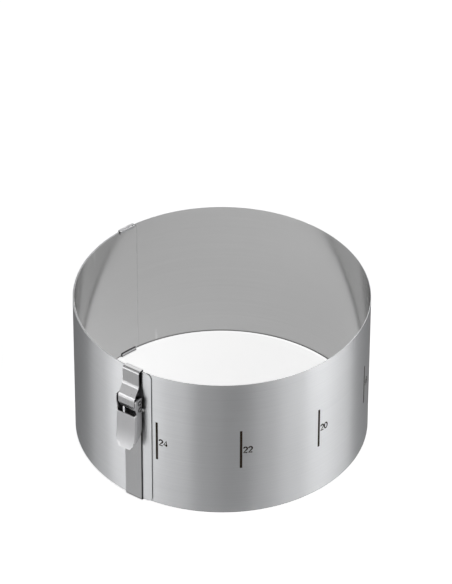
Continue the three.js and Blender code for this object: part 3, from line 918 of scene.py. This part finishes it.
def earFrontAt(height):
    over = height - lever["shoulderHeight"]
    if over > 0:
        radius = lever["shoulderRadius"]
        return lever["earFront"] - radius + math.sqrt(max(0, radius ** 2 - over ** 2))
    return between(height, [
        (lever["webTop"], lever["webTopFront"] - lever["sheet"]),
        (lever["waistHeight"], lever["waistFront"]),
        (lever["earFrontBottom"], lever["earFront"]),
        (lever["shoulderHeight"], lever["earFront"]),
    ])


def flangeBackAt(height):
    if height > 0:
        return max(lever["flangeBack"], -math.sqrt(max(0, lever["earRadius"] ** 2 - height ** 2)))
    if height > lever["flangeStraight"]:
        return lever["flangeBack"]
    drop = min(lever["flangeStraight"] - height, lever["flangeArc"])
    return lever["flangeBack"] + lever["flangeArc"] - math.sqrt(lever["flangeArc"] ** 2 - drop ** 2)


def spaced(start, end, count):
    return [start + (end - start) * i / count for i in range(count + 1)]


def pressLever():
    # The sheet's middle surface as rows of (outward, across, height), with its thickness added at the end.
    half = lever["sheet"] / 2
    middleBend = lever["bend"] - half
    flatHalf = lever["halfWidth"] - lever["bend"]
    steps = lever["steps"]
    bendAngles = spaced(0, pi / 2, steps["bend"])
    flangeShares = spaced(0, 1, steps["flange"])[1:]
    webShares = spaced(-1, 1, steps["web"])
    vertices, faces = [], []

    def addPatch(rows):
        start, count = len(vertices), len(rows[0])
        for row in rows:
            vertices.extend(row)
        for i in range(len(rows) - 1):
            for j in range(count - 1):
                a = start + i * count + j
                faces.append((a, a + 1, a + count + 1, a + count))

    def sideRow(height):
        # From the web's edge round the bend to the back edge of the flange.
        centre = webFront(height) - lever["bend"]
        back = flangeBackAt(height)
        row = [(centre + middleBend * cos(a), flatHalf + middleBend * sin(a)) for a in bendAngles]
        row += [(centre + (min(back, centre) - centre) * s, flatHalf + middleBend) for s in flangeShares]
        return row

    webRow = sideRow(lever["webTop"])
    webSpan = webRow[0][0] - webRow[-1][0]
    shares = [(webRow[0][0] - outward) / webSpan for outward, across in webRow]
    waistRise = lever["waistHeight"] - lever["webTop"]

    def earRow(height):
        # Flattens the bend into a plain ear between the web's top and the waist.
        front, back = earFrontAt(height), flangeBackAt(height)
        flattened = min(1, (height - lever["webTop"]) / waistRise)
        row = []
        for (outward, across), share in zip(webRow, shares):
            aim = front + (back - front) * share
            start = outward + (aim - outward) * min(1, lever["frontLead"] * flattened)
            row.append((start, across + (flatHalf + middleBend - across) * flattened))
        return row

    def stretch(name, start, end):
        return spaced(lever[start], lever[end], steps[name])[1:]

    heights = [lever["tongueRoot"]] + stretch("tail", "tongueRoot", "flangeStraight")
    heights += stretch("waist", "flangeStraight", "webTop")
    earHeights = stretch("notch", "webTop", "waistHeight") + stretch("ear", "waistHeight", "earFrontBottom")
    earHeights += stretch("shoulder", "earFrontBottom", "shoulderHeight") + lever["earTop"]
    sideRows = [[(*spot, height) for spot in sideRow(height)] for height in heights]
    sideRows += [[(*spot, height) for spot in earRow(height)] for height in earHeights]
    addPatch(sideRows)
    addPatch([[(outward, -across, height) for outward, across, height in row] for row in sideRows])
    webRows = [[(webFront(height) - half, flatHalf * s, height) for s in webShares] for height in heights]
    for height in spaced(lever["tip"], lever["tongueRoot"], steps["tip"])[:-1][::-1]:
        wide = between(height, [(lever["tip"], lever["tipHalf"]), (lever["tongueShoulder"], flatHalf)])
        webRows.insert(0, [(webFront(height) - half, wide * s, height) for s in webShares])
    addPatch(webRows)
    atPivot = Matrix.Translation((pivotRadius, 0, pivotHeight))
    seated = clampTurn @ atPivot @ Matrix.Diagonal((mm, mm, mm, 1))
    points = [seated @ Vector(point) for point in vertices]
    piece = meshPiece("clampLever", points, faces, steels["leverSatin"])
    wall = piece.modifiers.new("sheet", "SOLIDIFY")
    wall.thickness = lever["sheet"] * mm
    wall.offset = 0
    wall.use_even_offset = True
    return settle(piece, lever["edge"] * mm)


place(pressLever(), "lever", ["clamp_lever"])

print("stage: rivets")
rivet = {
    "Half Width": 9.84 * mm,
    "Shank Radius": 1.5 * mm,
    "Shank Sides": 24,
    "Steel": steels["rivetSatin"],
}
rivetHead = {
    "sides": 28,
    "profile": [  # millimetres: radius, height over the ear
        (0, 0.06), (0.75, 0.06), (0.95, 0.24), (1.08, 0.62), (1.18, 0.92), (1.34, 1.03), (1.55, 1.02),
        (1.85, 0.86), (2.06, 0.58), (2.15, 0.25), (2.12, 0.0), (1.4, 0.0),
    ],
}


def turnHead():
    steps, profile = rivetHead["sides"], rivetHead["profile"]
    points = []
    for i in range(steps):
        a = 2 * pi * i / steps
        points += [(r * cos(a) * mm, r * sin(a) * mm, h * mm) for r, h in profile]
    count = len(profile)
    faces = []
    for i in range(steps):
        for j in range(count - 1):
            a, b = i * count + j, ((i + 1) % steps) * count + j
            faces.append((a, b, b + 1, a + 1))
    faces.append(tuple(i * count + count - 1 for i in range(steps)))
    return meshPiece("rivetHead", points, faces, steels["rivetSatin"])


def rivetTree(head):
    # A shank across the lever with a head on both ends, turned to where the clamp is.
    inputs = {**rivet, "Head": head, "Out": 0.0, "Up": 0.0, "Turn": 0.0}
    tree, sizes = newTree("rivetThroughEars", inputs)
    ends = geometryFrom(tree, "GeometryNodeMeshLine", {"Count": 2, "Offset": (0, 0, 0)})
    index = addNode(tree, "GeometryNodeInputIndex").outputs[0]
    hand = calc(tree, "SUBTRACT", calc(tree, "MULTIPLY", index, 2), 1)
    across = calc(tree, "MULTIPLY", hand, sizes["Half Width"])
    placed = moved(tree, ends, vector(tree, sizes["Out"], across, sizes["Up"]))
    tilt = vector(tree, calc(tree, "MULTIPLY", hand, -pi / 2), 0, 0)
    shape = addNode(tree, "GeometryNodeObjectInfo", {"Object": sizes["Head"]}).outputs["Geometry"]
    heads = geometryFrom(tree, "GeometryNodeInstanceOnPoints",
                         {"Points": placed, "Instance": shape, "Rotation": tilt})
    shank = geometryFrom(tree, "GeometryNodeMeshCylinder", {
        "Vertices": sizes["Shank Sides"], "Radius": sizes["Shank Radius"],
        "Depth": calc(tree, "MULTIPLY", sizes["Half Width"], 2),
    })
    middle = vector(tree, sizes["Out"], 0, sizes["Up"])
    laid = geometryFrom(tree, "GeometryNodeTransform",
                        {"Geometry": shank, "Translation": middle, "Rotation": (pi / 2, 0, 0)})
    turned = geometryFrom(tree, "GeometryNodeTransform", {
        "Geometry": joined(tree, heads, laid), "Rotation": vector(tree, 0, 0, sizes["Turn"]),
    })
    smooth = geometryFrom(tree, "GeometryNodeSetShadeSmooth", {"Geometry": realized(tree, turned)})
    return closeTree(tree, dressed(tree, smooth, sizes["Steel"]))


headShape = turnHead()
riveting = rivetTree(headShape)
pinPlaces = {
    "pivotRivet": (pivotRadius, pivotHeight, "pivot_pin"),
    "catchRivet": (catchPin.x, catchPin.y, "catch_pin"),
}
for name, (out, up, node) in pinPlaces.items():
    pin = linked(name, bpy.data.meshes.new(name))
    runTree(pin, riveting, {**rivet, "Head": headShape, "Out": out, "Up": up, "Turn": clampHeading})
    settle(pin)
    place(pin, "lever", [node])
bpy.data.objects.remove(headShape)
